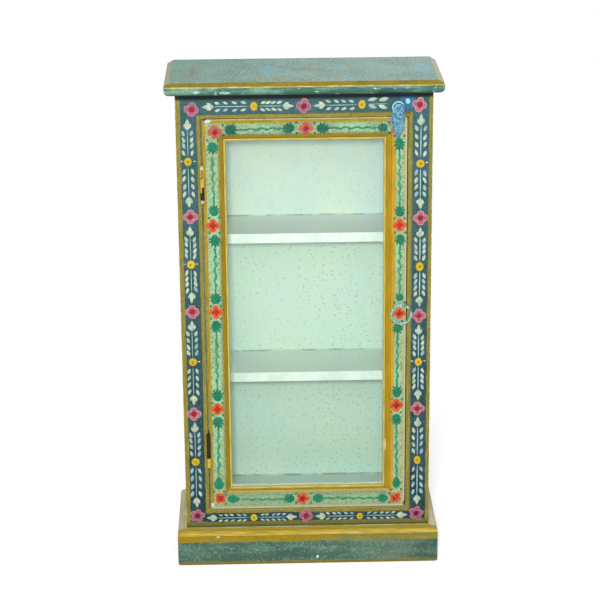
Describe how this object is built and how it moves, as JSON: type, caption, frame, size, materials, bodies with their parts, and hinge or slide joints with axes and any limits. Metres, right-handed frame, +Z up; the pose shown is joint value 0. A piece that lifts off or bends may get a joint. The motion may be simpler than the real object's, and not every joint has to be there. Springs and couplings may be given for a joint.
{
  "type": "thimble display case",
  "caption": "Small painted wooden display cabinet with a glazed door, shelves inside, a turn button, a ring pull and a moulded plinth.",
  "frame": {"origin": "middle of the foot, where the cabinet stands: x and y at the middle of the outline, z at the floor", "axes": "+Z up, +X to the right seen from the front, the door faces -Y"},
  "size_m": [0.318, 0.132, 0.6],
  "materials": {
    "top_paint": "worn painted wood, sea green with a gold edge",
    "side_paint": "worn painted wood, sea green",
    "frame_paint": "painted wood, blue with gold lines and a floral border",
    "door_paint": "painted wood, pale green with gold mouldings and a floral border",
    "plinth_paint": "crackled painted wood, sea green with a gold moulding",
    "inside_paint": "pale mint painted wood",
    "bead_paint": "pale painted wood",
    "pane_glass": "clear",
    "hinge_iron": "dark iron",
    "latch_paint": "worn blue paint",
    "ring_paint": "worn pale aqua paint",
    "nail_steel": "dull"
  },
  "bodies": {
    "case": {"top_board": "top_paint", "left_side": "side_paint", "right_side": "side_paint", "back_panel": "inside_paint", "floor_board": "inside_paint", "upper_shelf": "inside_paint", "lower_shelf": "inside_paint", "frame_stile_left": "frame_paint", "frame_stile_right": "frame_paint", "frame_rail_top": "frame_paint", "frame_rail_bottom": "frame_paint", "plinth_front": "plinth_paint", "plinth_left": "plinth_paint", "plinth_right": "plinth_paint", "door_stop": "inside_paint", "top_nails": "nail_steel", "shelf_nails": "nail_steel", "plinth_nails": "nail_steel", "back_nails": "nail_steel", "upper_hinge_case_leaf": "hinge_iron", "upper_hinge_pin": "hinge_iron", "lower_hinge_case_leaf": "hinge_iron", "lower_hinge_pin": "hinge_iron", "hinge_screws_case": "hinge_iron", "latch_washer": "latch_paint", "latch_screw": "latch_paint"},
    "door": {"door_stile_left": "door_paint", "door_stile_right": "door_paint", "door_rail_top": "door_paint", "door_rail_bottom": "door_paint", "mitre_nails": "nail_steel", "glass_pane": "pane_glass", "glazing_bead_left": "bead_paint", "glazing_bead_right": "bead_paint", "glazing_bead_top": "bead_paint", "glazing_bead_bottom": "bead_paint", "glazing_pins": "nail_steel", "upper_hinge_door_leaf": "hinge_iron", "lower_hinge_door_leaf": "hinge_iron", "hinge_screws_door": "hinge_iron", "ring_staple": "ring_paint"},
    "latch": {"latch_plate": "latch_paint"},
    "ring_pull": {"ring": "ring_paint"}
  },
  "joints": [
    {"name": "door_hinge", "type": "hinge", "parent": "case", "child": "door", "pos_m": [-0.1181, -0.055, 0.3135], "axis": [0, 0, -1], "range_deg": [0, 175]},
    {"name": "latch_turn", "type": "hinge", "parent": "case", "child": "latch", "pos_m": [0.107, -0.0552, 0.568], "axis": [0, -1, 0], "range_deg": [-110, 110]},
    {"name": "ring_swing", "type": "hinge", "parent": "door", "child": "ring_pull", "pos_m": [0.11198, -0.05765, 0.3303], "axis": [-1, 0, 0], "range_deg": [0, 175]}
  ]
}
